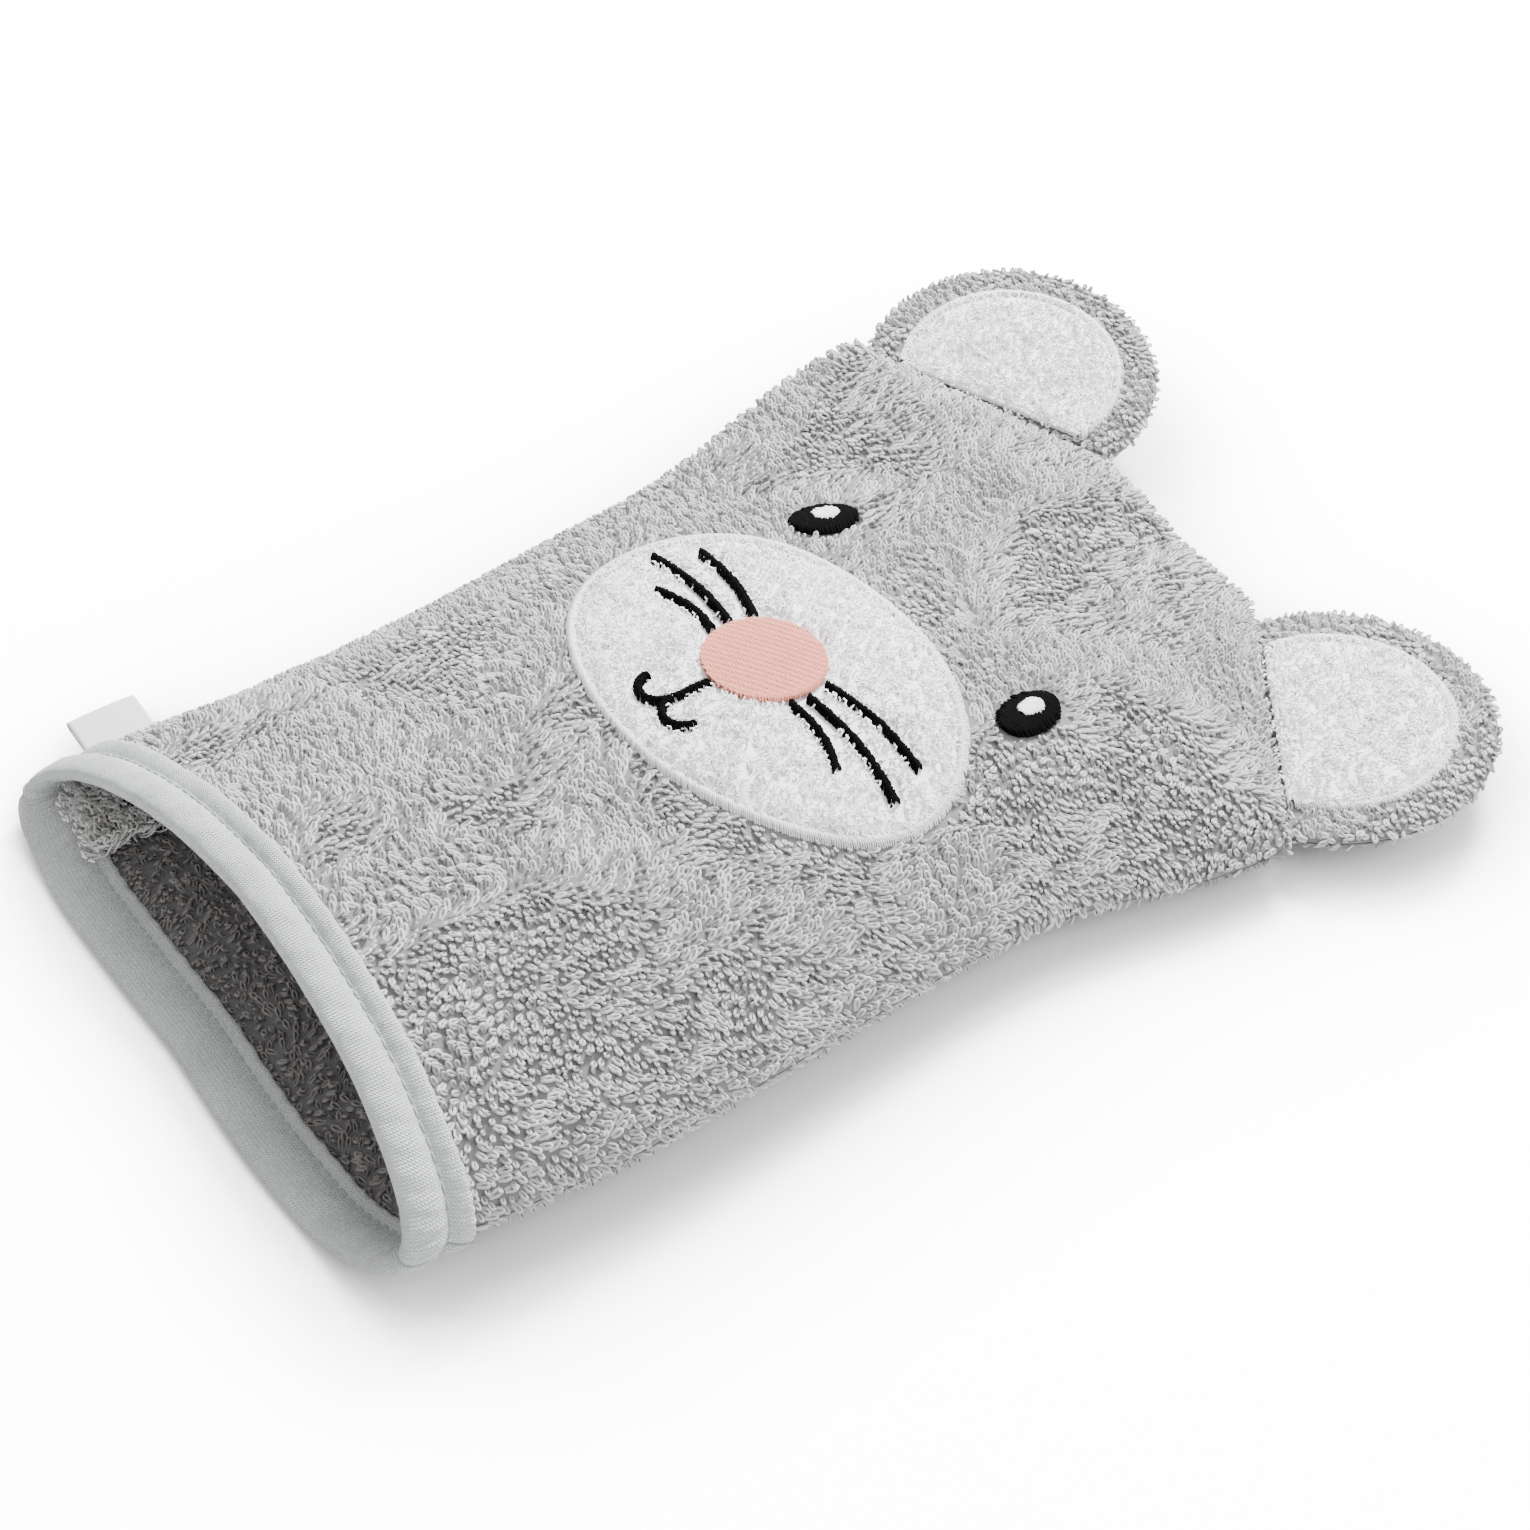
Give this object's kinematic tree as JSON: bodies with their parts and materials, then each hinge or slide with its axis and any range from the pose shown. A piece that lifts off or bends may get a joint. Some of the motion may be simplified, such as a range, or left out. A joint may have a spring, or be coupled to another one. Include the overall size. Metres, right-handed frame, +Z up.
{
  "type": "hand puppet mitt",
  "caption": "Terry-cloth mouse-faced hand puppet mitt with a bound cuff, embroidered plush muzzle and two round ears, lying on its back.",
  "frame": {"origin": "on the table plane under the middle of the mitt's length, on its centre line", "axes": "+Y from the cuff to the ears, +Z up out of the face, +X towards the puppet's right edge as seen from above with the ears away"},
  "size_m": [0.2038, 0.2991, 0.0395],
  "materials": {
    "grey_terry": "looped cotton terry, matt",
    "binding_cotton": "plain-woven cotton bias binding, matt",
    "tag_tape": "folded woven tape, matt",
    "white_plush": "short coral-fleece pile, matt",
    "pink_thread": "fill-stitched rayon thread, soft sheen",
    "black_thread": "satin-stitched rayon thread, soft sheen",
    "white_thread": "satin-stitched rayon thread, soft sheen"
  },
  "bodies": {
    "sleeve": {"front_panel_sleeve": "grey_terry", "front_panel_fold": "grey_terry", "back_panel_sleeve": "grey_terry", "back_panel_fold": "grey_terry", "side_seam_left_sleeve": "grey_terry", "side_seam_right_sleeve": "grey_terry", "cuff_binding": "binding_cotton", "cuff_topstitch": "white_thread"},
    "head": {"front_panel_head": "grey_terry", "back_panel_head": "grey_terry", "side_seam_left_head": "grey_terry", "side_seam_right_head": "grey_terry", "crown_seam": "grey_terry", "muzzle_patch": "white_plush", "muzzle_border": "white_thread", "nose": "pink_thread", "mouth": "black_thread", "whiskers_left": "black_thread", "whiskers_right": "black_thread", "eye_left": "black_thread", "eye_right": "black_thread", "eye_highlight_left": "white_thread", "eye_highlight_right": "white_thread"},
    "ear_left": {"ear_left_front": "grey_terry", "ear_left_back": "grey_terry", "ear_left_plush": "white_plush", "ear_left_border": "white_thread"},
    "ear_right": {"ear_right_front": "grey_terry", "ear_right_back": "grey_terry", "ear_right_plush": "white_plush", "ear_right_border": "white_thread"},
    "side_tag": {"side_tag": "tag_tape"}
  },
  "joints": [
    {"name": "head_nod", "type": "hinge", "parent": "sleeve", "child": "head", "pos_m": [0, -0.055, 0.02411], "axis": [1, 0, 0], "range_deg": [-35, 35], "deforming": ["front_panel_fold", "back_panel_fold"]},
    {"name": "ear_left_flop", "type": "hinge", "parent": "head", "child": "ear_left", "pos_m": [-0.06374, 0.1136, 0.02102], "axis": [0.8977, 0.4344, -0.0735], "range_deg": [-50, 50], "stiffness_Nm_per_rad": 0.015},
    {"name": "ear_right_flop", "type": "hinge", "parent": "head", "child": "ear_right", "pos_m": [0.06035, 0.10574, 0.00912], "axis": [0.8093, -0.5874, 0], "range_deg": [-50, 50], "stiffness_Nm_per_rad": 0.015},
    {"name": "tag_flap", "type": "hinge", "parent": "sleeve", "child": "side_tag", "pos_m": [-0.08068, -0.10991, 0.00751], "axis": [0, 1, 0], "range_deg": [-60, 80], "stiffness_Nm_per_rad": 0.0002}
  ]
}
